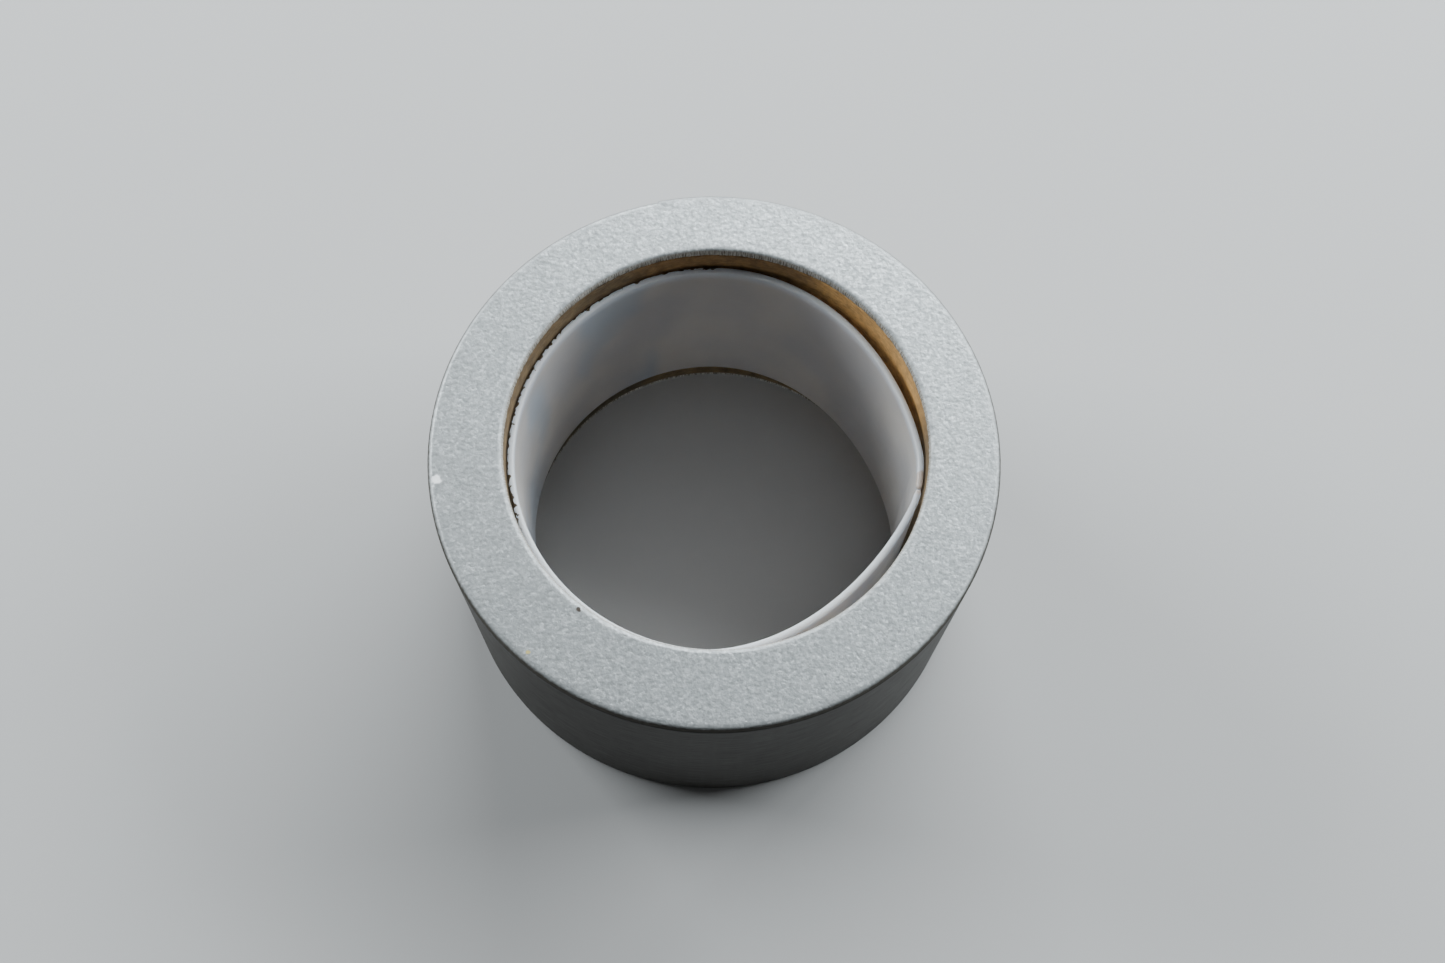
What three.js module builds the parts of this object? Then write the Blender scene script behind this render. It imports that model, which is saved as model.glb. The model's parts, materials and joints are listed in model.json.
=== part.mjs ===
import * as THREE from 'three';

// A roll of duct tape wound on a kraft paper core, lying on one of its two side faces.
// Millimetres, +Z up along the roll's axis. The origin is the centre of the roll's round outline,
// on the surface that the roll stands on.

// Driving dimensions
const ROLL_RADIUS = 51.25;
const TAPE_WIDTH = 55.6;
const FACING_THICKNESS = 0.4;
const CORE_RADIUS = 38.1;
const PLY_THICKNESS = 0.9;
const PLY_NAMES = ['core_inner_ply', 'core_middle_ply', 'core_outer_ply'];
const LAYER_THICKNESS = 0.1;

// The turns lie a little thicker on one side, so the core's axis is shifted by this much.
const CORE_SHIFT = new THREE.Vector2(0.3, 1.2);

// The side facings are rounded over the roll's outer edge and turned down into the core.
const OUTER_EDGE_RADIUS = 1.1;
const BORE_EDGE_RADIUS = 0.5;
const TOP_LIP_DEPTH = 1.8;
const BOTTOM_LIP_DEPTH = 0.6;

// The liner is a split plastic strip inside the core.
const LINER_THICKNESS = 1.2;
const LINER_CLEARANCE = 0.25;
const LINER_BOTTOM = 7.1;
const LINER_TOP = 50.6;
const LINER_SPLIT_ANGLE = -8;
const LINER_SPLIT_GAP = 0.5;
const LINER_STEPS = 120;

// Where the strip is too long for its seat it bows off the wall, in degrees and millimetres.
// skew moves the top of the bow towards its from end, and power sets how flat the top is.
const LINER_BOWS = [
  { from: 1, to: 98, height: 1.65, skew: 0.65, power: 1.8 },
  { from: -10, to: -89, height: 2.3, skew: 0.8, power: 1.2 },
];

// The free end of the tape, as steps of the ring that it is part of.
const RING_STEPS = 72;
const TAB_FIRST_STEP = 16;
const TAB_STEPS = 5;
const TAB_CLEARANCE = 0.05;
const TAB_EDGE_CLEARANCE = 0.1;
const TAB_END_GAP = 0.35;

// Derived sizes
const ROLL_HEIGHT = TAPE_WIDTH + 2 * FACING_THICKNESS;
const CORE_OUTER_RADIUS = CORE_RADIUS + PLY_NAMES.length * PLY_THICKNESS;
const PACK_RADIUS = ROLL_RADIUS - 3 * LAYER_THICKNESS;
const STEP_ANGLE = (2 * Math.PI) / RING_STEPS;
const ARC_STEPS = 3;

const silver = new THREE.MeshStandardMaterial({ color: 0xc4cacb, roughness: 0.5, metalness: 0.6 });
const film = new THREE.MeshStandardMaterial({ color: 0x42423f, roughness: 0.5, metalness: 0 });
const cloth = new THREE.MeshStandardMaterial({ color: 0xd8d6cf, roughness: 0.9, metalness: 0 });
const glue = new THREE.MeshStandardMaterial({ color: 0x9a9a94, roughness: 0.6, metalness: 0 });
const pack = new THREE.MeshStandardMaterial({ color: 0x4a4a47, roughness: 0.6, metalness: 0 });
const kraft = new THREE.MeshStandardMaterial({ color: 0x8a6a42, roughness: 0.9, metalness: 0 });
const liner = new THREE.MeshStandardMaterial({ color: 0xe6e6ea, roughness: 0.3, metalness: 0 });

// A corner of a ring's section: its radius, its height, and the axis that the radius is measured from.
const fromRollAxis = (radius, z) => ({ radius, z, shift: 0 });
const fromCoreAxis = (radius, z) => ({ radius, z, shift: 1 });

function cornerAt({ radius, z, shift }, angle) {
  const x = radius * Math.cos(angle) + shift * CORE_SHIFT.x;
  const y = radius * Math.sin(angle) + shift * CORE_SHIFT.y;
  return [x, y, z];
}

// The section's corners run anticlockwise, with the radius to the right and +Z up.
function sweptSection(section, angles, closed) {
  const count = section.length;
  const positions = angles.flatMap((angle) => section.flatMap((corner) => cornerAt(corner, angle)));
  const index = [];
  const spans = closed ? angles.length : angles.length - 1;
  for (let span = 0; span < spans; span += 1) {
    const here = span * count;
    const next = ((span + 1) % angles.length) * count;
    for (let corner = 0; corner < count; corner += 1) {
      const after = (corner + 1) % count;
      index.push(here + corner, next + corner, next + after);
      index.push(here + corner, next + after, here + after);
    }
  }
  if (!closed) {
    const last = (angles.length - 1) * count;
    for (let corner = 1; corner < count - 1; corner += 1) {
      index.push(0, corner, corner + 1);
      index.push(last, last + corner + 1, last + corner);
    }
  }
  const geometry = new THREE.BufferGeometry();
  geometry.setAttribute('position', new THREE.Float32BufferAttribute(positions, 3));
  geometry.setIndex(index);
  geometry.computeVertexNormals();
  return geometry;
}

const stepAngles = (first, last) => {
  const count = last - first + 1;
  return Array.from({ length: count }, (_, step) => (first + step) * STEP_ANGLE);
};

const fullRing = (section) => sweptSection(section, stepAngles(0, RING_STEPS - 1), true);

// A quarter circle about a centre, from one angle to another.
function quarterArc(centre, radius, from, to, axis) {
  return Array.from({ length: ARC_STEPS + 1 }, (_, step) => {
    const angle = THREE.MathUtils.lerp(from, to, step / ARC_STEPS);
    return axis(centre.x + radius * Math.cos(angle), centre.y + radius * Math.sin(angle));
  });
}

const turnedOver = (section) => {
  const flipped = section.map((corner) => ({ ...corner, z: ROLL_HEIGHT - corner.z }));
  return flipped.reverse();
};

const outerEdgeCentre = new THREE.Vector2(
  ROLL_RADIUS - OUTER_EDGE_RADIUS,
  ROLL_HEIGHT - OUTER_EDGE_RADIUS,
);
const packEdge = quarterArc(
  outerEdgeCentre, OUTER_EDGE_RADIUS - FACING_THICKNESS, 0, Math.PI / 2, fromRollAxis,
);

// The section of a side facing, drawn as the top one.
function facingSection(lipDepth) {
  const boreEdgeCentre = new THREE.Vector2(
    CORE_RADIUS + BORE_EDGE_RADIUS,
    ROLL_HEIGHT - BORE_EDGE_RADIUS,
  );
  return [
    fromCoreAxis(CORE_RADIUS, ROLL_HEIGHT - lipDepth),
    fromCoreAxis(CORE_RADIUS + FACING_THICKNESS, ROLL_HEIGHT - lipDepth),
    fromCoreAxis(CORE_RADIUS + FACING_THICKNESS, ROLL_HEIGHT - FACING_THICKNESS),
    fromCoreAxis(CORE_OUTER_RADIUS, ROLL_HEIGHT - FACING_THICKNESS),
    ...packEdge.toReversed(),
    ...quarterArc(outerEdgeCentre, OUTER_EDGE_RADIUS, 0, Math.PI / 2, fromRollAxis),
    ...quarterArc(boreEdgeCentre, BORE_EDGE_RADIUS, Math.PI / 2, Math.PI, fromCoreAxis),
  ];
}

// One ply of the paper core. The inner ply is stepped back at each end for the facings' lips.
function plySection(number) {
  const inner = CORE_RADIUS + number * PLY_THICKNESS;
  const outer = inner + PLY_THICKNESS;
  const bottom = FACING_THICKNESS;
  const top = ROLL_HEIGHT - FACING_THICKNESS;
  if (number > 0) {
    return [
      fromCoreAxis(inner, bottom),
      fromCoreAxis(outer, bottom),
      fromCoreAxis(outer, top),
      fromCoreAxis(inner, top),
    ];
  }
  const stepped = inner + FACING_THICKNESS;
  return [
    fromCoreAxis(inner, BOTTOM_LIP_DEPTH),
    fromCoreAxis(stepped, BOTTOM_LIP_DEPTH),
    fromCoreAxis(stepped, bottom),
    fromCoreAxis(outer, bottom),
    fromCoreAxis(outer, top),
    fromCoreAxis(stepped, top),
    fromCoreAxis(stepped, ROLL_HEIGHT - TOP_LIP_DEPTH),
    fromCoreAxis(inner, ROLL_HEIGHT - TOP_LIP_DEPTH),
  ];
}

// All the turns but the last, pressed into one another.
function packSection() {
  const top = [
    fromRollAxis(PACK_RADIUS, ROLL_HEIGHT - OUTER_EDGE_RADIUS),
    ...packEdge,
    fromCoreAxis(CORE_OUTER_RADIUS, ROLL_HEIGHT - FACING_THICKNESS),
  ];
  return [...turnedOver(top), ...top];
}

// One layer of the last turn, between two radii and two heights.
const layerSection = (inner, outer, bottom, top) => [
  fromRollAxis(inner, bottom),
  fromRollAxis(outer, bottom),
  fromRollAxis(outer, top),
  fromRollAxis(inner, top),
];

function linerBow(degrees) {
  return LINER_BOWS.reduce((bow, { from, to, height, skew, power }) => {
    const along = (degrees - from) / (to - from);
    if (along <= 0 || along >= 1) return bow;
    return bow + height * Math.sin(Math.PI * along ** skew) ** power;
  }, 0);
}

// The strip's plan is a ring that is split at one place and bowed in at two.
function linerGeometry() {
  const seat = CORE_RADIUS - LINER_CLEARANCE;
  const halfGap = THREE.MathUtils.radToDeg(LINER_SPLIT_GAP / seat) / 2;
  const start = LINER_SPLIT_ANGLE + halfGap;
  const sweep = 360 - 2 * halfGap;
  const steps = Array.from({ length: LINER_STEPS + 1 }, (_, step) => {
    const degrees = start + (sweep * step) / LINER_STEPS;
    const signed = degrees > 180 ? degrees - 360 : degrees;
    const outer = seat - linerBow(signed);
    return { angle: THREE.MathUtils.degToRad(degrees), outer, inner: outer - LINER_THICKNESS };
  });
  const point = (radius, angle) => new THREE.Vector2(radius * Math.cos(angle), radius * Math.sin(angle));
  const outline = [
    ...steps.map(({ angle, outer }) => point(outer, angle)),
    ...steps.toReversed().map(({ angle, inner }) => point(inner, angle)),
  ];
  const geometry = new THREE.ExtrudeGeometry(new THREE.Shape(outline), {
    depth: LINER_TOP - LINER_BOTTOM,
    bevelEnabled: false,
  });
  return geometry.translate(CORE_SHIFT.x, CORE_SHIFT.y, LINER_BOTTOM);
}

const group = new THREE.Group();

function add(name, geometry, material) {
  const mesh = new THREE.Mesh(geometry, material);
  mesh.name = name;
  group.add(mesh);
}

PLY_NAMES.forEach((name, number) => add(name, fullRing(plySection(number)), kraft));
add('wound_turns', fullRing(packSection()), pack);
add('top_facing', fullRing(facingSection(TOP_LIP_DEPTH)), silver);
add('bottom_facing', fullRing(turnedOver(facingSection(BOTTOM_LIP_DEPTH))), silver);

// The last turn and the free end have the same three layers, from the inside out. The free end
// starts where the last turn stops, and lies just clear of the turn under it.
const tabLastStep = TAB_FIRST_STEP + TAB_STEPS;
const lastTurnAngles = stepAngles(tabLastStep, TAB_FIRST_STEP + RING_STEPS);
const tabAngles = stepAngles(TAB_FIRST_STEP, tabLastStep);
tabAngles[TAB_STEPS] -= TAB_END_GAP / ROLL_RADIUS;
const layers = [
  ['adhesive', glue],
  ['scrim', cloth],
  ['backing', film],
];
layers.forEach(([layer, material], number) => {
  const inner = PACK_RADIUS + number * LAYER_THICKNESS;
  const outer = PACK_RADIUS + (number + 1) * LAYER_THICKNESS;
  const bottom = OUTER_EDGE_RADIUS;
  const top = ROLL_HEIGHT - OUTER_EDGE_RADIUS;
  const turn = layerSection(inner, outer, bottom, top);
  const tabInner = number === 0 ? inner + TAB_CLEARANCE : inner;
  const tab = layerSection(tabInner, outer, bottom + TAB_EDGE_CLEARANCE, top - TAB_EDGE_CLEARANCE);
  add(`last_turn_${layer}`, sweptSection(turn, lastTurnAngles, false), material);
  add(`free_end_${layer}`, sweptSection(tab, tabAngles, false), material);
});

add('core_liner', linerGeometry(), liner);

export default group;
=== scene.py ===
import json
import math

import bpy
import numpy as np
from mathutils import Matrix, Vector


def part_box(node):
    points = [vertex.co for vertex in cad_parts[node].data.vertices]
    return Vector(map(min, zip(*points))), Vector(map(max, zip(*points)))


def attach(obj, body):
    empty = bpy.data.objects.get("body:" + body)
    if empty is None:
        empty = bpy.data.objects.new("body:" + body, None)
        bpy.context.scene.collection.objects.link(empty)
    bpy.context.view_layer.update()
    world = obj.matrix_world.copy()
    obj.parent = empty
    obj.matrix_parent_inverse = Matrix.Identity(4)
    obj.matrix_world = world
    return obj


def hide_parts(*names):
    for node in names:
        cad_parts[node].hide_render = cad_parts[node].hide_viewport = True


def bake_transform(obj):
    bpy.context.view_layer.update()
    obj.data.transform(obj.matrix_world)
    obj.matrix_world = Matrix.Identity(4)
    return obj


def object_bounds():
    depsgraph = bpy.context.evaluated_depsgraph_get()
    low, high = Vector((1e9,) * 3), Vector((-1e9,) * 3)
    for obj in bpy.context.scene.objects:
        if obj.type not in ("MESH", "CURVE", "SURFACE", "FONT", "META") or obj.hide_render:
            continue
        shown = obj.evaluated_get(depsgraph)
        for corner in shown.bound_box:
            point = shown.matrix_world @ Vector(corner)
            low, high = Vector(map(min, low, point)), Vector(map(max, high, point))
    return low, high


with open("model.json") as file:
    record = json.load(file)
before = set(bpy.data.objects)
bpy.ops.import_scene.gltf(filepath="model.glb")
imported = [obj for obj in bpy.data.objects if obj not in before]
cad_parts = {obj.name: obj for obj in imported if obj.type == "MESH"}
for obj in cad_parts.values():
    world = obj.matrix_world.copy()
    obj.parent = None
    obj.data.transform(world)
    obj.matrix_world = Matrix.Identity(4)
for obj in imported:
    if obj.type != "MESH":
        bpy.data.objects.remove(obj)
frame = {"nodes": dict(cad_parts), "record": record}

# A roll of dark duct tape with silver side faces, on a paper core with a loose white plastic
# strip inside it. Everything is in metres, in the frame of the CAD model: +Z up, with the
# roll's outline centred on the origin.

MM = 0.001

# ---------------------------------------------------------------------------------------------
# Sizes read from the frame
# ---------------------------------------------------------------------------------------------

cad_low, cad_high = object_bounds()
HEIGHT = cad_high.z
ROLL_RADIUS = cad_high.x


def half_width(node):
    low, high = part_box(node)
    return (high.x - low.x) / 2


core_low, core_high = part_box("core_inner_ply")
CORE_AXIS = (core_low + core_high) / 2
PLY_THICKNESS = half_width("core_middle_ply") - half_width("core_inner_ply")
CORE_RADIUS = half_width("core_inner_ply") - PLY_THICKNESS
CORE_OUTSIDE = half_width("core_outer_ply")
CORE_TOP = core_high.z
LINER_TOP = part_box("core_liner")[1].z
LINER_OUTSIDE = CORE_AXIS.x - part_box("core_liner")[0].x
FACING = HEIGHT - CORE_TOP
OUTER_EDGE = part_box("last_turn_backing")[0].z
TOP_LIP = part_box("top_facing")[0].z
BOTTOM_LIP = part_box("bottom_facing")[1].z

# The tape is wound in a spiral: the outside drops by one thickness from the free end's edge
# to the same place a turn earlier. Angles are degrees round the roll from +X, seen from above.
TAPE = ROLL_RADIUS - half_width("wound_turns")
LAYER = TAPE / 3
joint = next(j for j in frame["record"]["behaviour"]["joints"] if j["name"] == "free_end_peel")
HINGE = Vector(joint["pos_m"])
HINGE_ANGLE = math.degrees(math.atan2(HINGE.y, HINGE.x))
tab_low, tab_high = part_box("free_end_backing")
FREE_EDGE_ANGLE = math.degrees(math.acos(tab_low.x / ROLL_RADIUS))
TAB_BOTTOM = tab_low.z
TAB_TOP = tab_high.z

# ---------------------------------------------------------------------------------------------
# Shape tools
# ---------------------------------------------------------------------------------------------


def ragged(angles, knots, seed):
    """Values from -1 to 1 that wander round the ring and meet themselves after a full turn."""
    values = np.random.default_rng(seed).uniform(-1, 1, knots)
    places = np.linspace(0, 2 * math.pi, knots, endpoint=False)
    return np.interp(angles, places, values, period=2 * math.pi)


def wandering(angles, seed, octaves=((5, 0.6), (13, 0.3), (37, 0.1))):
    return sum(share * ragged(angles, knots, seed + knots) for knots, share in octaves)


def full_turn(count):
    return np.linspace(0, 2 * math.pi, count, endpoint=False)


def part_turn(first, last, count):
    return np.radians(np.linspace(first, last, count))


def spiral_drop(angles):
    """How far the outside lies under the roll's full radius."""
    behind = np.mod(math.radians(FREE_EDGE_ANGLE) - angles - 1e-9, 2 * math.pi)
    return TAPE * behind / (2 * math.pi)


def section(corners, spacing):
    """A closed outline of [radius, z, shift] points from corners (radius, z, shift, fillet).

    shift is 0 where the radius is measured from the roll's axis and 1 from the core's. Corners
    run anticlockwise, with the radius to the right and z up."""
    count = len(corners)
    points = []
    for number, (radius, z, shift, fillet) in enumerate(corners):
        here = np.array([radius, z, shift])
        before = np.array(corners[number - 1][:3])
        after = np.array(corners[(number + 1) % count][:3])
        back = before - here
        ahead = after - here
        start = here + back * (fillet / np.linalg.norm(back[:2]))
        end = here + ahead * (fillet / np.linalg.norm(ahead[:2]))
        if points:
            points += straight(points[-1], start, spacing)
        points += bend_round(start, here, end, fillet)
    points += straight(points[-1], points[0], spacing)
    return np.array(points)


def straight(start, end, spacing):
    """The points between two others, without them."""
    pieces = max(1, round(float(np.linalg.norm((end - start)[:2])) / spacing))
    return [start + (end - start) * (step / pieces) for step in range(1, pieces)]


def bend_round(start, corner, end, fillet, steps=6):
    if fillet < 0.02 * MM:
        return [corner]
    centre = start + end - corner
    turn = np.linspace(0, math.pi / 2, steps + 1)
    return [centre + (start - centre) * math.cos(t) + (end - centre) * math.sin(t) for t in turn]


def ring_points(angles, outline):
    """Places an outline at each angle. The result is indexed by angle, then by outline point."""
    radius, z, shift = (column[None, :] for column in outline.T)
    turn = angles[:, None]
    real_radius = radius - (1 - shift) * spiral_drop(turn)
    x = real_radius * np.cos(turn) + shift * CORE_AXIS.x
    y = real_radius * np.sin(turn) + shift * CORE_AXIS.y
    return np.stack([x, y, z + 0 * turn], axis=2)


def push_out(points, angles, amount):
    """Moves points away from the core's axis by an amount for each."""
    outwards = np.stack([np.cos(angles), np.sin(angles), 0 * angles], axis=1)
    return points + outwards[:, None, :] * amount[:, :, None]


def tube_mesh(name, points, angles, closed):
    """A closed body from outlines swept round the roll, with its unrolled places as a UV map."""
    spans, count = points.shape[:2]
    numbers = np.arange(spans * count).reshape(spans, count)
    here = numbers if closed else numbers[:-1]
    following = np.roll(numbers, -1, axis=0) if closed else numbers[1:]
    faces = np.stack(
        [here, following, np.roll(following, -1, axis=1), np.roll(here, -1, axis=1)], axis=2
    ).reshape(-1, 4)
    along = angles * ROLL_RADIUS
    step = along[1] - along[0]
    left = np.repeat(along[: len(here)], count)
    up = np.cumsum(np.linalg.norm(np.diff(points[0], axis=0, append=points[0][:1]), axis=1))
    low = np.tile(points[0][:, 2], len(here))
    high = np.tile(np.roll(points[0][:, 2], -1), len(here))
    flat = np.tile(np.abs(np.diff(points[0][:, 2], append=points[0][0, 2])) < 1e-9, len(here))
    low = np.where(flat, np.tile(up, len(here)), low)
    high = np.where(flat, np.tile(up + step, len(here)), high)
    places = np.stack([left, low, left + step, low, left + step, high, left, high], axis=1)
    polygons = [tuple(face) for face in faces.tolist()]
    if not closed:
        polygons.append(tuple(numbers[0].tolist()))
        polygons.append(tuple(numbers[-1][::-1].tolist()))
        ends = np.zeros(4 * count)
        flat_places = np.concatenate([places.ravel(), ends])
    else:
        flat_places = places.ravel()
    mesh = bpy.data.meshes.new(name)
    mesh.from_pydata(points.reshape(-1, 3).tolist(), [], polygons)
    mesh.polygons.foreach_set("use_smooth", [True] * len(polygons))
    layer = mesh.uv_layers.new(name="Unrolled")
    layer.uv.foreach_set("vector", flat_places.astype(np.float32))
    mesh.update()
    made = bpy.data.objects.new(name, mesh)
    bpy.context.collection.objects.link(made)
    return made


def finish_piece(piece, body, slot, material, *nodes):
    piece.data.materials.append(material)
    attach(piece, body)
    if nodes:
        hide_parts(*nodes)
    return piece


# ---------------------------------------------------------------------------------------------
# Material tools
# ---------------------------------------------------------------------------------------------

# Where the silver coat changes or takes painted shade, from where the change starts to where it is
# complete: depths below the flat face, and widths in from the roll's outside or out from the core's
# bore.
RIM_SHADE_DEPTHS = (0.24 * MM, 0.78 * MM)
RIM_SHADE_WANDER = 0.5 * MM
RIM_DULL_SHADE = (1.35 * MM, 0.75 * MM)
BORE_DULL_SHADE = (1.00 * MM, 0.55 * MM)
LIP_WIDTHS = (0.45 * MM, 0.12 * MM)
LIP_DEPTHS = (0.12 * MM, 0.45 * MM)


class Nodes:
    """A material's node tree, with short ways to add what the materials here share."""

    def __init__(self, name):
        self.material = bpy.data.materials.new(name)
        self.material.use_nodes = True
        self.tree = self.material.node_tree
        self.shader = self.tree.nodes["Principled BSDF"]

    def node(self, kind, **settings):
        made = self.tree.nodes.new(kind)
        for key, value in settings.items():
            setattr(made, key, value)
        return made

    def plug(self, value, socket):
        if hasattr(value, "is_output"):
            self.tree.links.new(value, socket)
        else:
            socket.default_value = value

    def uniform(self, **values):
        for key, value in values.items():
            self.shader.inputs[key.replace("_", " ")].default_value = value

    def places(self, unrolled=False):
        if unrolled:
            return self.node("ShaderNodeUVMap", uv_map="Unrolled").outputs["UV"]
        return self.node("ShaderNodeTexCoord").outputs["Object"]

    def stretched(self, places, scale):
        made = self.node("ShaderNodeMapping")
        self.plug(places, made.inputs["Vector"])
        made.inputs["Scale"].default_value = scale
        return made.outputs["Vector"]

    def noise(self, places, size, detail=2.0, roughness=0.5):
        """Noise with features of about that size in metres."""
        made = self.node("ShaderNodeTexNoise")
        self.plug(places, made.inputs["Vector"])
        made.inputs["Scale"].default_value = 1 / size
        made.inputs["Detail"].default_value = detail
        made.inputs["Roughness"].default_value = roughness
        return made.outputs["Fac"]

    def cells(self, places, size, output="Color"):
        made = self.node("ShaderNodeTexVoronoi")
        self.plug(places, made.inputs["Vector"])
        made.inputs["Scale"].default_value = 1 / size
        return made.outputs[output]

    def math(self, operation, first, second=0.0):
        made = self.node("ShaderNodeMath", operation=operation)
        self.plug(first, made.inputs[0])
        self.plug(second, made.inputs[1])
        return made.outputs[0]

    def between(self, value, low, high, out_low=0.0, out_high=1.0):
        """Maps low..high to out_low..out_high smoothly, and clamps outside it."""
        made = self.node("ShaderNodeMapRange", interpolation_type="SMOOTHSTEP")
        self.plug(value, made.inputs["Value"])
        made.inputs["From Min"].default_value = low
        made.inputs["From Max"].default_value = high
        made.inputs["To Min"].default_value = out_low
        made.inputs["To Max"].default_value = out_high
        return made.outputs["Result"]

    def mix(self, share, first, second, blend="MIX"):
        made = self.node("ShaderNodeMix", data_type="RGBA", blend_type=blend)
        self.plug(share, made.inputs["Factor"])
        self.plug(first, made.inputs["A"])
        self.plug(second, made.inputs["B"])
        return made.outputs["Result"]

    def bump(self, height, depth, normal=None, strength=1.0):
        made = self.node("ShaderNodeBump")
        made.inputs["Strength"].default_value = strength
        made.inputs["Distance"].default_value = depth
        self.plug(height, made.inputs["Height"])
        if normal is not None:
            self.plug(normal, made.inputs["Normal"])
        return made.outputs["Normal"]

    def spot(self, places, centre, size):
        """1 within a ragged spot of about that width, 0 away from it."""
        made = self.node("ShaderNodeVectorMath", operation="DISTANCE")
        self.plug(places, made.inputs[0])
        made.inputs[1].default_value = centre
        away = made.outputs["Value"]
        wobble = self.noise(places, 0.7 * size, detail=2.0)
        away = self.math("ADD", away, self.math("MULTIPLY", wobble, 0.8 * size))
        return self.between(away, 0.75 * size, 0.95 * size, 1.0, 0.0)

    def radius(self, places, axis=(0.0, 0.0)):
        """Distance from an upright axis."""
        outputs = self.split(places)
        squares = []
        for output, middle in zip(("X", "Y"), axis):
            away = self.math("SUBTRACT", outputs[output], middle)
            squares.append(self.math("MULTIPLY", away, away))
        return self.math("SQRT", self.math("ADD", *squares))

    def depth(self, places):
        """Distance in from the nearer of the roll's two side faces."""
        from_middle = self.math("SUBTRACT", self.split(places)["Z"], HEIGHT / 2)
        return self.math("SUBTRACT", HEIGHT / 2, self.math("ABSOLUTE", from_middle))

    def shaded_rim(self, places, grain):
        """1 on the roll's rounded outer edges, where painted shade darkens the coat to the film's
        tone, 0 on the flat faces.
        """
        outside = self.between(self.radius(places), ROLL_RADIUS - 3.0 * MM, ROLL_RADIUS - 2.0 * MM)
        depth = self.math("ADD", self.depth(places), self.math("MULTIPLY", grain, RIM_SHADE_WANDER))
        return self.math("MULTIPLY", outside, self.between(depth, *RIM_SHADE_DEPTHS))

    def dulled_shaded_edges(self, places):
        """1 on the rounded edges at the outside and at the bore, which are dulled and take painted
        shade, 0 on the flat face.
        """
        from_outside = self.math("SUBTRACT", ROLL_RADIUS, self.radius(places))
        from_bore = self.math("SUBTRACT", self.radius(places, CORE_AXIS.xy), CORE_RADIUS)
        rim = self.between(from_outside, *RIM_DULL_SHADE)
        inner = self.between(from_bore, *BORE_DULL_SHADE)
        return self.math("MAXIMUM", rim, inner)

    def stretch_of(self, along, angles, fade=6 * MM):
        """1 between two angles round the roll, from an unrolled place, fading out at its ends."""
        first, last = (math.radians(angle) * ROLL_RADIUS for angle in angles)
        started = self.between(along, first - fade / 2, first + fade / 2)
        ended = self.between(along, last - fade / 2, last + fade / 2, 1.0, 0.0)
        return self.math("MULTIPLY", started, ended)

    def cut_lip(self, places):
        """1 on the coat's cut edge inside the core, 0 on the flat faces."""
        from_bore = self.math("SUBTRACT", self.radius(places, CORE_AXIS.xy), CORE_RADIUS)
        inside = self.between(from_bore, *LIP_WIDTHS)
        below = self.between(self.depth(places), *LIP_DEPTHS)
        return self.math("MULTIPLY", inside, below)

    def split(self, places):
        made = self.node("ShaderNodeSeparateXYZ")
        self.plug(places, made.inputs["Vector"])
        return made.outputs

    def into(self, **values):
        for key, value in values.items():
            self.plug(value, self.shader.inputs[key.replace("_", " ")])


THREAD_PITCH_ALONG = 2.4 * MM
THREAD_PITCH_ACROSS = 1.35 * MM


def grey(value, warm=0.0):
    return (value * (1 + warm), value, value * (1 - warm), 1.0)


def thread_grid(nodes, places, width):
    """1 on the threads of the cloth, 0 between them, from unrolled places."""
    outputs = nodes.split(places)
    sway = nodes.math("MULTIPLY", nodes.noise(places, 14 * MM, detail=3.0), 3.5 * MM)
    threads = []
    for output, pitch in (("X", THREAD_PITCH_ALONG), ("Y", THREAD_PITCH_ACROSS)):
        swayed = nodes.math("ADD", outputs[output], sway)
        turn = nodes.math("FRACT", nodes.math("DIVIDE", swayed, pitch))
        from_middle = nodes.math("ABSOLUTE", nodes.math("SUBTRACT", turn, 0.5))
        threads.append(nodes.between(from_middle, 0.0, width, 1.0, 0.0))
    return nodes.math("MAXIMUM", *threads)


# Marks on the top face: a white flake, a dark crumb at the bore and a yellow speck near the rim.
FACING_MARKS = [
    ((-48.6 * MM, -8.5 * MM, HEIGHT), 1.75 * MM, (0.95, 0.96, 0.96, 1)),
    ((-22.0 * MM, -31.2 * MM, HEIGHT), 0.9 * MM, (0.06, 0.05, 0.04, 1)),
    ((-29.9 * MM, -39.0 * MM, HEIGHT), 0.8 * MM, (0.45, 0.38, 0.16, 1)),
]
SILVER_DEEP = (0.39, 0.415, 0.42, 1)
SILVER_PALE = (0.60, 0.635, 0.64, 1)
SILVER_CLOUD = (0.48, 0.505, 0.505, 1)
FLAKE_BRIGHT = (0.90, 0.94, 0.95, 1)
FLAKE_DULL = (0.26, 0.275, 0.275, 1)
GRAIN_BRIGHT = (0.84, 0.88, 0.89, 1)
GRAIN_DULL = (0.28, 0.295, 0.295, 1)
LIP_DARK = (0.15, 0.135, 0.11, 1)
LIP_PALE = (0.52, 0.51, 0.47, 1)
RIM_SHADE_COLOUR = (0.060, 0.055, 0.046, 1)


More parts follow.
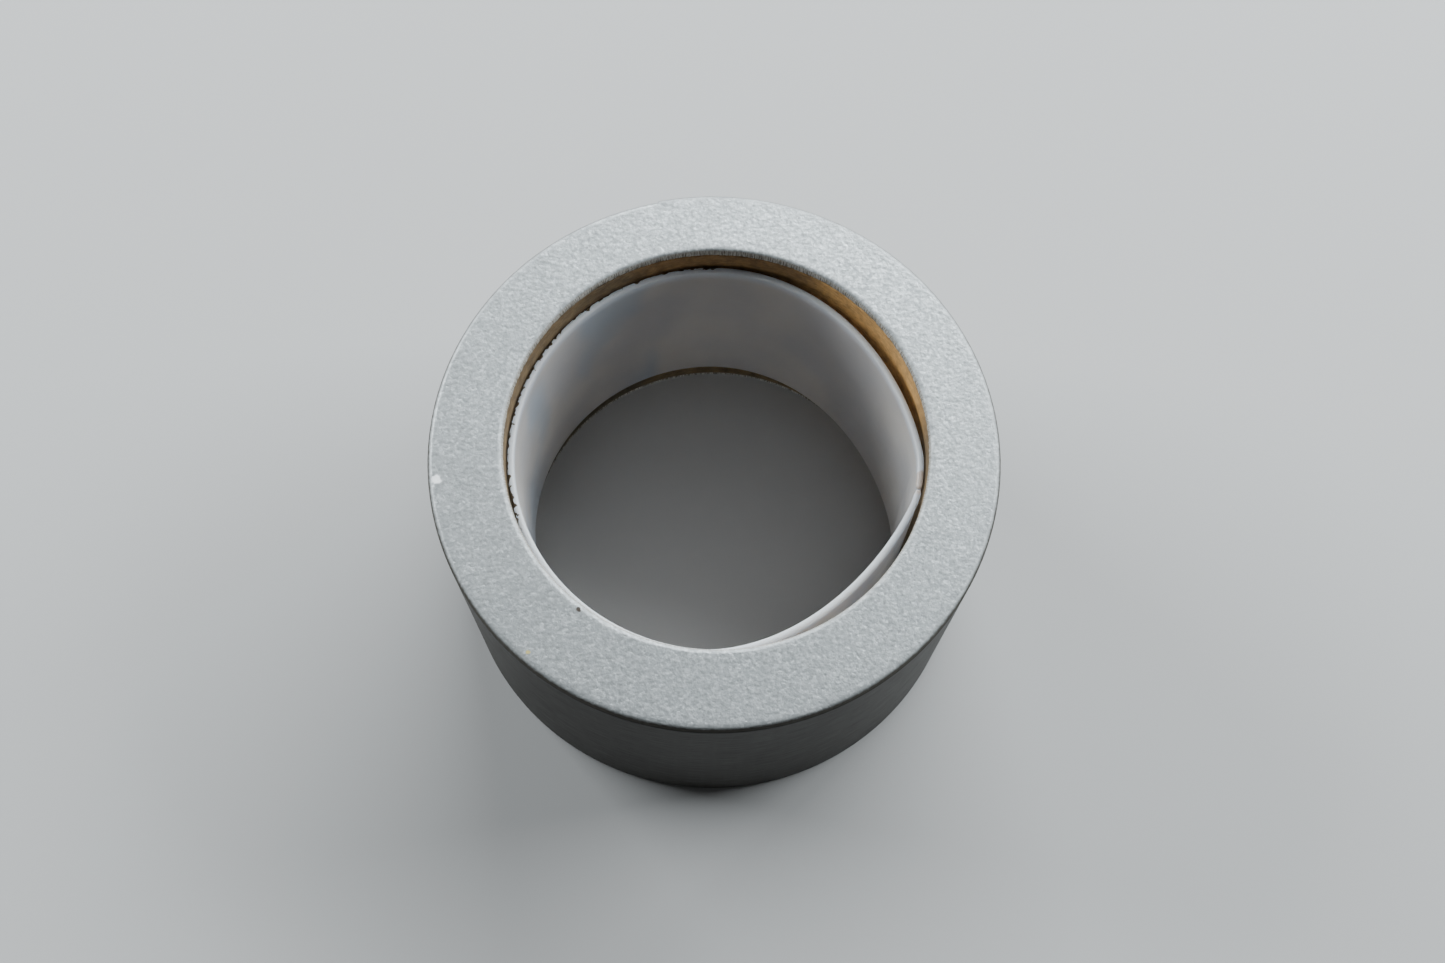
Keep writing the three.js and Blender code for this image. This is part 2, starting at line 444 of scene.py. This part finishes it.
def facing_material():
    """Silver coat with a fine metallic grain, soft mottling, a few dull marks and painted shade on
    its rounded edges.
    """
    nodes = Nodes("silver_facing")
    places = nodes.places()
    mottle = nodes.noise(places, 1.5 * MM, detail=3.0, roughness=0.6)
    grain = nodes.noise(places, 0.75 * MM, detail=2.0, roughness=0.6)
    flakes = nodes.split(nodes.cells(places, 0.5 * MM))["X"]
    cloud = nodes.noise(places, 22 * MM, detail=2.0)
    shade = nodes.mix(nodes.between(mottle, 0.30, 0.70), SILVER_DEEP, SILVER_PALE)
    shade = nodes.mix(nodes.between(cloud, 0.35, 0.7, 0.0, 0.35), shade, SILVER_CLOUD)
    shade = nodes.mix(nodes.between(flakes, 0.70, 1.0, 0.0, 0.40), shade, FLAKE_BRIGHT)
    shade = nodes.mix(nodes.between(flakes, 0.30, 0.0, 0.0, 0.30), shade, FLAKE_DULL)
    shade = nodes.mix(nodes.between(grain, 0.54, 0.70, 0.0, 0.45), shade, GRAIN_BRIGHT)
    shade = nodes.mix(nodes.between(grain, 0.46, 0.30, 0.0, 0.45), shade, GRAIN_DULL)
    marked = 0.0
    for centre, size, colour in FACING_MARKS:
        mark = nodes.spot(places, centre, size)
        shade = nodes.mix(mark, shade, colour)
        marked = nodes.math("MAXIMUM", mark, marked)
    rubbed_or_edge_shade = nodes.dulled_shaded_edges(places)
    # Painted shade: the rounded edges at the outside and at the bore are darkened to 0.8 of their
    # colour.
    shade = nodes.mix(rubbed_or_edge_shade, shade, grey(0.80), blend="MULTIPLY")
    # Painted shade: the rounded outer rims fade from silver to the dark film's tone.
    rim_shade = nodes.shaded_rim(places, grain)
    shade = nodes.mix(rim_shade, shade, RIM_SHADE_COLOUR)
    unrolled = nodes.places(unrolled=True)
    upright = nodes.stretched(unrolled, (1.0, 0.12, 1.0))
    ribs = nodes.noise(upright, 0.28 * MM, detail=2.0, roughness=0.6)
    cut = nodes.mix(nodes.between(ribs, 0.35, 0.65), LIP_DARK, LIP_PALE)
    lip = nodes.cut_lip(places)
    shade = nodes.mix(lip, shade, cut)
    soft = nodes.bump(mottle, 0.10 * MM, strength=0.5)
    fine = nodes.bump(grain, 0.06 * MM, normal=soft, strength=0.7)
    sparkle = nodes.bump(flakes, 0.02 * MM, normal=fine, strength=0.4)
    # Where the coat is cut or marked, and on the rims with painted shade, the face is dull, and its
    # edges with painted shade are in between.
    bare_or_shaded = nodes.math("MAXIMUM", rim_shade, nodes.math("MAXIMUM", lip, marked))
    rough = nodes.between(mottle, 0.3, 0.7, 0.50, 0.40)
    rough = nodes.math("MAXIMUM", rough, nodes.math("MULTIPLY", bare_or_shaded, 0.65))
    rough = nodes.math("MAXIMUM", rough, nodes.math("MULTIPLY", rubbed_or_edge_shade, 0.62))
    dull_or_painted_shade = nodes.math("MAXIMUM", bare_or_shaded, nodes.math("MULTIPLY", rubbed_or_edge_shade, 0.6))
    nodes.into(Metallic=nodes.between(dull_or_painted_shade, 0.0, 1.0, 0.88, 0.0))
    nodes.into(Specular_IOR_Level=nodes.between(bare_or_shaded, 0.0, 1.0, 0.5, 0.15))
    nodes.into(Base_Color=shade, Roughness=rough, Normal=sparkle)
    return nodes.material


FILM_DEEP = (0.036, 0.034, 0.030, 1)
FILM_LIGHT = (0.044, 0.042, 0.037, 1)


def film_material():
    """Dark polyethylene film over cloth: soft sheen, threads telegraphing through, light scuffs."""
    nodes = Nodes("backing_film")
    places = nodes.places(unrolled=True)
    solid = nodes.places()
    cloud = nodes.noise(solid, 9 * MM, detail=3.0)
    showing = nodes.between(nodes.noise(solid, 16 * MM, detail=3.0), 0.35, 0.65, 0.25, 1.0)
    grid = nodes.math("MULTIPLY", thread_grid(nodes, places, width=0.34), showing)
    drawn = nodes.stretched(places, (0.08, 1.0, 1.0))
    streak = nodes.noise(drawn, 0.5 * MM, detail=3.0, roughness=0.65)
    rubbed_or_edge_shade = nodes.stretched(places, (0.3, 1.0, 1.0))
    scuff = nodes.noise(rubbed_or_edge_shade, 1.1 * MM, detail=5.0, roughness=0.75)
    shade = nodes.mix(nodes.between(cloud, 0.25, 0.75), FILM_DEEP, FILM_LIGHT)
    shade = nodes.mix(nodes.math("MULTIPLY", grid, 0.025), shade, grey(0.30))
    shade = nodes.mix(nodes.between(scuff, 0.62, 0.78, 0.0, 0.10), shade, grey(0.20))
    rough = nodes.between(streak, 0.3, 0.7, 0.46, 0.58)
    rough = nodes.math("ADD", rough, nodes.between(scuff, 0.58, 0.75, 0.0, 0.15))
    woven = nodes.bump(grid, 0.03 * MM, strength=0.22)
    pulled = nodes.bump(streak, 0.02 * MM, normal=woven, strength=0.4)
    nodes.into(Base_Color=shade, Roughness=rough, Normal=pulled)
    nodes.uniform(Specular_IOR_Level=0.15)
    return nodes.material


# The board has painted light where the liner stands off it, and painted shade on the left and at
# the split.
LIT_KRAFT_ANGLES = (14, 62)
SHADED_KRAFT_ANGLES = [(-30, 8), (115, 240), (330, 390)]


KRAFT_DEEP = (0.165, 0.096, 0.037, 1)
KRAFT_LIGHT = (0.29, 0.170, 0.064, 1)
FIBRE_PALE = (0.42, 0.265, 0.115, 1)
FIBRE_DARK = (0.085, 0.046, 0.018, 1)
SPECK = (0.05, 0.03, 0.015, 1)
PAINTED_LIGHT_TINT = (2.1, 2.0, 1.75, 1)
PAINTED_SHADE_TINT = (0.62, 0.71, 0.90, 1)
BOTTOM_SHADE_TINT = (0.62, 0.72, 0.92, 1)


def kraft_material():
    """Brown kraft board with long fibres and specks, with painted light where the liner stands off
    it and painted shade on the left, at the split and low down.
    """
    nodes = Nodes("kraft_board")
    places = nodes.places(unrolled=True)
    solid = nodes.places()
    along = nodes.split(places)["X"]
    fibrous = nodes.stretched(places, (0.22, 1.0, 1.0))
    fibre = nodes.noise(fibrous, 0.45 * MM, detail=4.0, roughness=0.7)
    pulp = nodes.noise(solid, 2.2 * MM, detail=4.0, roughness=0.6)
    specks = nodes.cells(solid, 0.9 * MM, "Distance")
    shade = nodes.mix(nodes.between(pulp, 0.3, 0.7), KRAFT_DEEP, KRAFT_LIGHT)
    shade = nodes.mix(nodes.between(fibre, 0.45, 0.75, 0.0, 0.55), shade, FIBRE_PALE)
    shade = nodes.mix(nodes.between(fibre, 0.45, 0.25, 0.0, 0.5), shade, FIBRE_DARK)
    shade = nodes.mix(nodes.between(specks, 0.14, 0.05, 0.0, 0.7), shade, SPECK)
    # Painted light: the board is brightened about twofold between 14 and 62 degrees, where the
    # liner stands off it.
    unmarked_or_painted_light = nodes.stretch_of(along, LIT_KRAFT_ANGLES, fade=16 * MM)
    shade = nodes.mix(unmarked_or_painted_light, shade, PAINTED_LIGHT_TINT, blend="MULTIPLY")
    # Painted shade: the board is darkened and cooled on the left and around the split.
    dull_or_painted_shade = 0.0
    for angles in SHADED_KRAFT_ANGLES:
        dull_or_painted_shade = nodes.math("MAXIMUM", nodes.stretch_of(along, angles, fade=12 * MM), dull_or_painted_shade)
    shade = nodes.mix(dull_or_painted_shade, shade, PAINTED_SHADE_TINT, blend="MULTIPLY")
    # Painted shade: the board is darkened and cooled below 9 mm, at the foot of the bore.
    painted_bottom_shade = nodes.between(nodes.split(solid)["Z"], 9 * MM, 6 * MM)
    shade = nodes.mix(painted_bottom_shade, shade, BOTTOM_SHADE_TINT, blend="MULTIPLY")
    pulpy = nodes.bump(pulp, 0.15 * MM, strength=0.5)
    raised = nodes.bump(fibre, 0.08 * MM, normal=pulpy, strength=0.7)
    rough = nodes.between(fibre, 0.3, 0.7, 0.88, 0.72)
    nodes.into(Base_Color=shade, Roughness=rough, Normal=raised)
    return nodes.material


# The liner has a painted bluish glow of light and less clearness near its top edge, a painted
# bluish reflection on part of it, paper crumbs along part of that edge, and a brown smear at the
# split.
CRUMB_ANGLES = (92, 205)
BLUE_REFLECTION_ANGLES = (112, 200)
TOP_EDGE_BAND = (3.2 * MM, 0.4 * MM)
CRUMB_DEPTHS = (0.9 * MM, 0.7 * MM)
CRUMB_SPREAD = 3.0 * MM
CRUMB_REACHES = (1.26 * MM, 1.36 * MM)
RESIDUE = (CORE_AXIS.x + 37.0 * MM, CORE_AXIS.y - 3.6 * MM, LINER_TOP)
RESIDUE_SIZE = 4.5 * MM
MILK_COOL = (0.64, 0.63, 0.635, 1)
MILK_WARM_REFLECTION = (0.76, 0.725, 0.69, 1)
MILK_BLUE_REFLECTION = (0.45, 0.53, 0.63, 1)
PAINTED_EDGE_GLOW = (0.71, 0.80, 0.95, 1)
DUST = (0.40, 0.33, 0.24, 1)
CRUMB = (0.060, 0.040, 0.022, 1)
SMEAR = (0.40, 0.27, 0.15, 1)


def liner_material():
    """Milky plastic strip: light spreads inside it, with faint warm and cool clouds of painted
    reflection.
    """
    nodes = Nodes("milky_liner")
    places = nodes.places(unrolled=True)
    solid = nodes.places()
    along = nodes.split(places)["X"]
    depth = nodes.math("SUBTRACT", LINER_TOP, nodes.split(solid)["Z"])
    # Painted reflection: warm clouds over the whole strip.
    cloud = nodes.noise(solid, 19 * MM, detail=1.0)
    shade = nodes.mix(nodes.between(cloud, 0.35, 0.65), MILK_COOL, MILK_WARM_REFLECTION)
    # Painted reflection: bluish patches on the strip's left part.
    blue_reflection_noise = nodes.noise(nodes.stretched(solid, (1.0, 1.0, 0.7)), 15 * MM, detail=1.0)
    blue_reflection_part = nodes.stretch_of(along, BLUE_REFLECTION_ANGLES)
    blue_reflection_part = nodes.math("MULTIPLY", nodes.between(blue_reflection_noise, 0.45, 0.68), blue_reflection_part)
    shade = nodes.mix(nodes.math("MULTIPLY", blue_reflection_part, 0.7), shade, MILK_BLUE_REFLECTION)
    # Painted light: a pale bluish glow along the top 3 mm of the strip.
    painted_edge_glow = nodes.between(depth, *TOP_EDGE_BAND)
    shade = nodes.mix(nodes.math("MULTIPLY", painted_edge_glow, 0.85), shade, PAINTED_EDGE_GLOW)
    dust = nodes.cells(solid, 3.1 * MM, "Distance")
    shade = nodes.mix(nodes.between(dust, 0.035, 0.015, 0.0, 0.5), shade, DUST)
    # The crumbs are at the outside of the top edge, and reach inwards by uneven amounts.
    lumps = nodes.noise(solid, 1.4 * MM, detail=1.5, roughness=0.6)
    from_outside = nodes.math("SUBTRACT", nodes.radius(solid, CORE_AXIS.xy), LINER_OUTSIDE)
    reach = nodes.math("ADD", from_outside, nodes.math("MULTIPLY", lumps, CRUMB_SPREAD))
    crumb_part = nodes.stretch_of(along, CRUMB_ANGLES)
    crumb_part = nodes.math("MULTIPLY", nodes.between(depth, *CRUMB_DEPTHS), crumb_part)
    crumbs = nodes.math("MULTIPLY", nodes.between(reach, *CRUMB_REACHES), crumb_part)
    shade = nodes.mix(crumbs, shade, CRUMB)
    residue = nodes.math("MULTIPLY", nodes.spot(solid, RESIDUE, RESIDUE_SIZE), 0.7)
    shade = nodes.mix(residue, shade, SMEAR)
    rubbed_or_edge_shade = nodes.stretched(places, (0.3, 1.0, 1.0))
    rubbed_or_edge_shade = nodes.noise(rubbed_or_edge_shade, 6 * MM, detail=3.0, roughness=0.6)
    clear = nodes.between(depth, *TOP_EDGE_BAND, 0.45, 0.25)
    unmarked_or_painted_light = nodes.between(nodes.math("MAXIMUM", crumbs, residue), 0.0, 1.0, 1.0, 0.0)
    nodes.into(Base_Color=shade, Roughness=nodes.between(rubbed_or_edge_shade, 0.35, 0.7, 0.40, 0.50))
    nodes.into(Normal=nodes.bump(rubbed_or_edge_shade, 0.05 * MM, strength=0.25))
    nodes.into(Transmission_Weight=nodes.math("MULTIPLY", clear, unmarked_or_painted_light))
    nodes.uniform(
        Subsurface_Weight=1.0,
        Subsurface_Radius=(0.9, 0.95, 1.0),
        Subsurface_Scale=4.0 * MM,
        IOR=1.49,
    )
    return nodes.material


def glue_material():
    """Grey tacky adhesive with the cloth's grid showing through it."""
    nodes = Nodes("grey_adhesive")
    places = nodes.places(unrolled=True)
    solid = nodes.places()
    grid = thread_grid(nodes, places, width=0.22)
    lumps = nodes.noise(solid, 0.9 * MM, detail=4.0, roughness=0.65)
    shade = nodes.mix(nodes.between(lumps, 0.3, 0.7), grey(0.33, 0.02), grey(0.42, 0.02))
    shade = nodes.mix(nodes.math("MULTIPLY", grid, 0.65), shade, grey(0.62, 0.03))
    woven = nodes.bump(grid, 0.10 * MM, strength=0.8)
    lumpy = nodes.bump(lumps, 0.08 * MM, normal=woven, strength=0.5)
    nodes.into(Base_Color=shade, Roughness=nodes.between(lumps, 0.3, 0.7, 0.30, 0.48), Normal=lumpy)
    return nodes.material


def cloth_material():
    """Unbleached gauze threads with a twist."""
    nodes = Nodes("gauze_thread")
    solid = nodes.places()
    spun = nodes.stretched(solid, (1.0, 1.0, 2.5))
    twist = nodes.noise(spun, 0.22 * MM, detail=3.0, roughness=0.7)
    shade = nodes.mix(nodes.between(twist, 0.3, 0.7), (0.50, 0.48, 0.42, 1), (0.78, 0.76, 0.70, 1))
    nodes.into(Base_Color=shade, Normal=nodes.bump(twist, 0.05 * MM, strength=0.8))
    nodes.uniform(Roughness=0.9)
    return nodes.material


silver = facing_material()
film = film_material()
kraft = kraft_material()
milky = liner_material()
glue = glue_material()
gauze = cloth_material()

# ---------------------------------------------------------------------------------------------
# The side facings
# ---------------------------------------------------------------------------------------------

FACING_STEPS = 1440
BORE_EDGE = 0.9 * MM
BOTTOM_BORE_EDGE = 0.3 * MM
KNIFE_RIBS = 610
LIP_WEAR = 0.10 * MM
LIP_RAGGEDNESS = 0.38 * MM
FACE_DIP = 0.05 * MM


def facing_outline(lip, bore_edge):
    """The top facing's outline: a thin sheet, rounded outside and turned down into the core."""
    core_side = CORE_RADIUS + FACING
    pack_edge = OUTER_EDGE - FACING
    return section(
        [
            (CORE_RADIUS, lip, 1, 0),
            (core_side, lip, 1, 0),
            (core_side, CORE_TOP, 1, 0),
            (ROLL_RADIUS - FACING, CORE_TOP, 0, pack_edge),
            (ROLL_RADIUS - FACING, HEIGHT - OUTER_EDGE, 0, 0),
            (ROLL_RADIUS, HEIGHT - OUTER_EDGE, 0, 0),
            (ROLL_RADIUS, HEIGHT, 0, OUTER_EDGE),
            (CORE_RADIUS, HEIGHT, 1, bore_edge),
        ],
        0.45 * MM,
    )


def facing_points(angles, lip, bore_edge, seed):
    outline = facing_outline(lip, bore_edge)
    points = ring_points(angles, outline)
    radius, z, shift = outline.T
    # The lip's cut edge is ragged and its face is ribbed by the knife.
    on_lip = (shift > 0.99) & (radius < CORE_RADIUS + 1e-7)
    down = np.clip((HEIGHT - bore_edge - z) / (HEIGHT - bore_edge - lip), 0, 1) * on_lip
    ribs = np.abs(ragged(angles, KNIFE_RIBS, seed)) * LIP_WEAR
    points = push_out(points, angles, ribs[:, None] * down[None, :])
    edge = wandering(angles, seed + 1, ((60, 0.5), (240, 0.3), (KNIFE_RIBS, 0.2)))
    edge = LIP_RAGGEDNESS * edge
    points[:, :, 2] += np.abs(edge)[:, None] * (down ** 3)[None, :]
    # The flat face is not perfectly even: it dips by a few hundredths of a millimetre.
    on_top = np.clip((z - (HEIGHT - FACE_DIP)) / FACE_DIP, 0, 1)
    dips = 0.5 + 0.5 * wandering(angles, seed + 2)
    points[:, :, 2] -= FACE_DIP * dips[:, None] * on_top[None, :]
    return points


def facing(name, lip, bore_edge, seed, upside_down=False):
    angles = full_turn(FACING_STEPS)
    points = facing_points(angles, lip, bore_edge, seed)
    if upside_down:
        points[:, :, 2] = HEIGHT - points[:, :, 2]
        points = points[:, ::-1]
    return tube_mesh(name, points, angles, closed=True)


finish_piece(
    facing("side_facing_top", TOP_LIP, BORE_EDGE, 11),
    "roll", "side_facing", silver, "top_facing",
)
finish_piece(
    facing("side_facing_bottom", HEIGHT - BOTTOM_LIP, BOTTOM_BORE_EDGE, 23, upside_down=True),
    "roll", "side_facing", silver, "bottom_facing",
)

# ---------------------------------------------------------------------------------------------
# The paper core
# ---------------------------------------------------------------------------------------------

CORE_STEPS = 720
SEAM_PITCH = 73 * MM
SEAM_HALF_WIDTH = 0.9 * MM
SEAM_DEPTH = 0.14 * MM
BOARD_UNEVENNESS = 0.05 * MM


def core_ply():
    """The core's inner ply, with the shallow groove where the edges of its spiral strip meet."""
    stepped = CORE_RADIUS + FACING
    outside = CORE_RADIUS + PLY_THICKNESS
    outline = section(
        [
            (CORE_RADIUS, BOTTOM_LIP, 1, 0),
            (stepped, BOTTOM_LIP, 1, 0),
            (stepped, FACING, 1, 0),
            (outside, FACING, 1, 0),
            (outside, CORE_TOP, 1, 0),
            (stepped, CORE_TOP, 1, 0),
            (stepped, TOP_LIP, 1, 0),
            (CORE_RADIUS, TOP_LIP, 1, 0),
        ],
        0.6 * MM,
    )
    angles = full_turn(CORE_STEPS)
    points = ring_points(angles, outline)
    inner = (outline[:, 0] < CORE_RADIUS + 1e-7).astype(float)
    helix = SEAM_PITCH * angles[:, None] / (2 * math.pi)
    above = np.mod(outline[None, :, 1] - helix + SEAM_PITCH / 2, SEAM_PITCH)
    away = np.abs(above - SEAM_PITCH / 2)
    groove = SEAM_DEPTH * np.clip(1 - away / SEAM_HALF_WIDTH, 0, 1)
    uneven = BOARD_UNEVENNESS * (1 + wandering(angles, 41))[:, None]
    points = push_out(points, angles, (groove + uneven) * inner[None, :])
    return tube_mesh("core_bore_ply", points, angles, closed=True)


finish_piece(core_ply(), "roll", "kraft", kraft, "core_inner_ply")
for hidden_ply in ("core_middle_ply", "core_outer_ply"):
    ply = frame["nodes"][hidden_ply]
    ply.data.materials.clear()
    ply.data.materials.append(kraft)

# ---------------------------------------------------------------------------------------------
# The tape: the pack of turns, the last turn and the free end
# ---------------------------------------------------------------------------------------------

TAPE_STEPS = 720
FREE_EDGE_GAP = 0.15 * MM
LAST_TURN_START = FREE_EDGE_ANGLE + math.degrees(FREE_EDGE_GAP / ROLL_RADIUS)
LAST_TURN_END = HINGE_ANGLE + 360
LAST_TURN_SLACK = 0.03 * MM
FREE_END_STEPS = 56
TORN_STEPS = 12
TORN_DEPTH = 0.45 * MM
PACK_EDGE = OUTER_EDGE - FACING
TAB_CLEARANCE = 0.04 * MM


def pack_of_turns():
    outside = ROLL_RADIUS - TAPE - TAB_CLEARANCE
    outline = section(
        [
            (CORE_OUTSIDE, FACING, 1, 0),
            (outside, FACING, 0, PACK_EDGE),
            (outside, CORE_TOP, 0, PACK_EDGE),
            (CORE_OUTSIDE, CORE_TOP, 1, 0),
        ],
        2.0 * MM,
    )
    angles = full_turn(TAPE_STEPS)
    return tube_mesh("pack_of_turns", ring_points(angles, outline), angles, closed=True)


def layer_outline(outer, inner, bottom, top):
    return section(
        [(inner, bottom, 0, 0), (outer, bottom, 0, 0), (outer, top, 0, 0), (inner, top, 0, 0)],
        1.2 * MM,
    )


def last_turn_layer(name, number):
    """One of the last turn's layers, counted from the outside."""
    outer = ROLL_RADIUS - number * LAYER
    outline = layer_outline(outer, outer - LAYER, OUTER_EDGE, HEIGHT - OUTER_EDGE)
    angles = part_turn(LAST_TURN_START, LAST_TURN_END, TAPE_STEPS)
    points = ring_points(angles, outline)
    if number == 0:
        # Each turn pulls down a little more in some places than in others.
        slack = LAST_TURN_SLACK * (1 + wandering(angles, 57))
        outside = (outline[:, 0] > outer - 1e-7).astype(float)
        middle = np.sin(math.pi * (outline[:, 1] - OUTER_EDGE) / (HEIGHT - 2 * OUTER_EDGE))
        points = push_out(points, angles, -slack[:, None] * (outside * middle)[None, :])
    return tube_mesh(name, points, angles, closed=False)


def free_end_layer(name, outer, inner):
    """A layer of the free end. Its edge is torn, so it wanders with the height."""
    outline = layer_outline(outer, inner, TAB_BOTTOM, TAB_TOP)
    angles = part_turn(HINGE_ANGLE, FREE_EDGE_ANGLE, FREE_END_STEPS)
    points = ring_points(angles, outline)
    heights = outline[:, 1] / HEIGHT * 2 * math.pi
    torn = TORN_DEPTH * np.abs(wandering(heights, 71, ((9, 0.5), (31, 0.3), (83, 0.2))))
    first_torn = FREE_END_STEPS - TORN_STEPS
    share = np.clip((np.arange(FREE_END_STEPS) - first_torn) / (TORN_STEPS - 1), 0, 1)
    back = (share ** 2)[:, None] * torn[None, :] / ROLL_RADIUS
    turned = points.copy()
    turned[:, :, 0] = points[:, :, 0] * np.cos(back) + points[:, :, 1] * np.sin(back)
    turned[:, :, 1] = points[:, :, 1] * np.cos(back) - points[:, :, 0] * np.sin(back)
    return tube_mesh(name, turned, angles, closed=False)


finish_piece(pack_of_turns(), "roll", "wound_tape", film, "wound_turns")
finish_piece(last_turn_layer("last_turn_film", 0), "roll", "backing", film, "last_turn_backing")
finish_piece(last_turn_layer("last_turn_cloth", 1), "roll", "scrim", gauze, "last_turn_scrim")
finish_piece(last_turn_layer("last_turn_glue", 2), "roll", "adhesive", glue, "last_turn_adhesive")

# The free end's three layers lie along the roll from the hinge to their torn edge.
free_end = [
    ("free_end_film", 0, LAYER, "backing", film, "free_end_backing"),
    ("free_end_cloth", LAYER, 2 * LAYER, "scrim", gauze, "free_end_scrim"),
    ("free_end_glue", 2 * LAYER, TAPE - TAB_CLEARANCE, "adhesive", glue, "free_end_adhesive"),
]
for name, out_by, in_by, slot, material, node in free_end:
    piece = free_end_layer(name, ROLL_RADIUS - out_by, ROLL_RADIUS - in_by)
    piece.data.materials.append(material)
    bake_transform(piece)
    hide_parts(node)

# ---------------------------------------------------------------------------------------------
# The liner
# ---------------------------------------------------------------------------------------------

LINER_STEPS = 900
LINER_EDGE = 0.5 * MM
LINER_SPLIT = math.radians(-8)
LINER_WAVINESS = 0.10 * MM
END_STEPS = 3
END_THINNING = 0.35


def liner_plan():
    """The strip's angles from the core's axis, with its outer and inner radius at each."""
    vertices = frame["nodes"]["core_liner"].data.vertices
    places = np.array([vertex.co for vertex in vertices])
    upper = places[places[:, 2] > places[:, 2].mean()]
    x = upper[:, 0] - CORE_AXIS.x
    y = upper[:, 1] - CORE_AXIS.y
    angles = np.arctan2(y, x)
    order = np.argsort(angles)
    angles, radii = angles[order], np.hypot(x, y)[order]
    starts = np.flatnonzero(np.diff(angles, prepend=-10) > 0.01)
    turns = angles[starts]
    outer = np.maximum.reduceat(radii, starts)
    inner = np.minimum.reduceat(radii, starts)
    # The ends of the split strip are next to each other, so the list starts at one of them.
    first = int(np.argmin(np.abs(turns - LINER_SPLIT)))
    if turns[first] < LINER_SPLIT:
        first += 1
    order = np.roll(np.arange(len(turns)), -first)
    return np.unwrap(turns[order]), outer[order], inner[order]


def liner_strip():
    turns, outer, inner = liner_plan()
    low, high = (corner.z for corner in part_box("core_liner"))
    # Points of the strip's outline as a share of its thickness, and a height.
    thickness = float(np.mean(outer - inner))
    outline = section(
        [
            (0, low, 0, LINER_EDGE),
            (thickness, low, 0, LINER_EDGE),
            (thickness, high, 0, LINER_EDGE),
            (0, high, 0, LINER_EDGE),
        ],
        1.5 * MM,
    )
    angles = np.linspace(turns[0], turns[-1], LINER_STEPS)
    inner_radius = np.interp(angles, turns, inner)
    share = outline[:, 0]
    # The ends are cut square and slightly softened.
    steps_in = np.minimum(np.arange(LINER_STEPS), np.arange(LINER_STEPS)[::-1])
    softened = np.clip(1 - steps_in / END_STEPS, 0, 1) ** 2
    half = thickness / 2
    across = half + (share[None, :] - half) * (1 - END_THINNING * softened[:, None])
    radius = inner_radius[:, None] + across
    z = np.repeat(outline[None, :, 1], LINER_STEPS, axis=0)
    rise = (z - low) / (high - low)
    z = z + rise * (LINER_WAVINESS * (wandering(angles, 83) - 1))[:, None]
    x = CORE_AXIS.x + radius * np.cos(angles)[:, None]
    y = CORE_AXIS.y + radius * np.sin(angles)[:, None]
    return tube_mesh("liner_strip", np.stack([x, y, z], axis=2), angles, closed=False)


finish_piece(liner_strip(), "liner", "liner", milky, "core_liner")

# ---------------------------------------------------------------------------------------------
# Floor, light and camera
# ---------------------------------------------------------------------------------------------

CAMERA_DISTANCE = 0.2883
CAMERA_ELEVATION = math.radians(69.62)
CAMERA_ROLL = math.radians(2.62)
CAMERA_RIGHT = 1.70 * MM
CAMERA_UP = -6.12 * MM
CAMERA_LENS = 40.36
CAMERA_SENSOR = 36
FLOOR_SIZE = 16
FLOOR_COLOUR = (0.46, 0.46, 0.455, 1)
WORLD_COLOUR = (0.93, 0.96, 1.0, 1)
WORLD_STRENGTH = 0.07
DAYLIGHT = (0.91, 0.965, 1.0)
# The name, place, width, height and power of each soft light.
LIGHTS = [
    ("back", (0.28, 0.97, 0.68), 1.2, 0.6, 30.5),
    ("right", (1.0, 0.45, 0.62), 0.6, 0.6, 18),
    ("left", (-0.95, 0.45, 0.50), 0.7, 0.5, 19),
]


def stage_floor():
    bpy.ops.mesh.primitive_plane_add(size=FLOOR_SIZE, location=(0, 0, 0))
    floor = bpy.context.object
    floor.name = "floor"
    nodes = Nodes("floor")
    nodes.uniform(Base_Color=FLOOR_COLOUR, Roughness=0.9)
    floor.data.materials.append(nodes.material)


def area_light(name, place, width, height, power):
    light = bpy.data.lights.new(name, "AREA")
    light.shape = "RECTANGLE"
    light.size = width
    light.size_y = height
    light.energy = power
    light.color = DAYLIGHT
    lamp = bpy.data.objects.new(name, light)
    lamp.location = place
    aim = Vector((0, 0, HEIGHT / 2)) - Vector(place)
    lamp.rotation_euler = aim.to_track_quat("-Z", "Y").to_euler()
    bpy.context.collection.objects.link(lamp)


def studio():
    world = bpy.data.worlds.new("studio")
    bpy.context.scene.world = world
    world.use_nodes = True
    background = world.node_tree.nodes["Background"]
    background.inputs["Color"].default_value = WORLD_COLOUR
    background.inputs["Strength"].default_value = WORLD_STRENGTH
    for light in LIGHTS:
        area_light(*light)


def camera():
    back = Vector((0, -math.cos(CAMERA_ELEVATION), math.sin(CAMERA_ELEVATION)))
    level_right = Vector((1, 0, 0))
    level_up = back.cross(level_right)
    turn = Matrix.Rotation(CAMERA_ROLL, 3, back)
    target = Vector((0, 0, HEIGHT)) + level_right * CAMERA_RIGHT + level_up * CAMERA_UP
    right, up = turn @ level_right, turn @ level_up
    data = bpy.data.cameras.new("camera")
    data.sensor_width = CAMERA_SENSOR
    data.lens = CAMERA_LENS
    data.clip_start = 0.01
    made = bpy.data.objects.new("camera", data)
    facing_out = Matrix((right, up, back)).transposed().to_4x4()
    made.matrix_world = Matrix.Translation(target + back * CAMERA_DISTANCE) @ facing_out
    bpy.context.collection.objects.link(made)
    bpy.context.scene.camera = made


stage_floor()
studio()
camera()
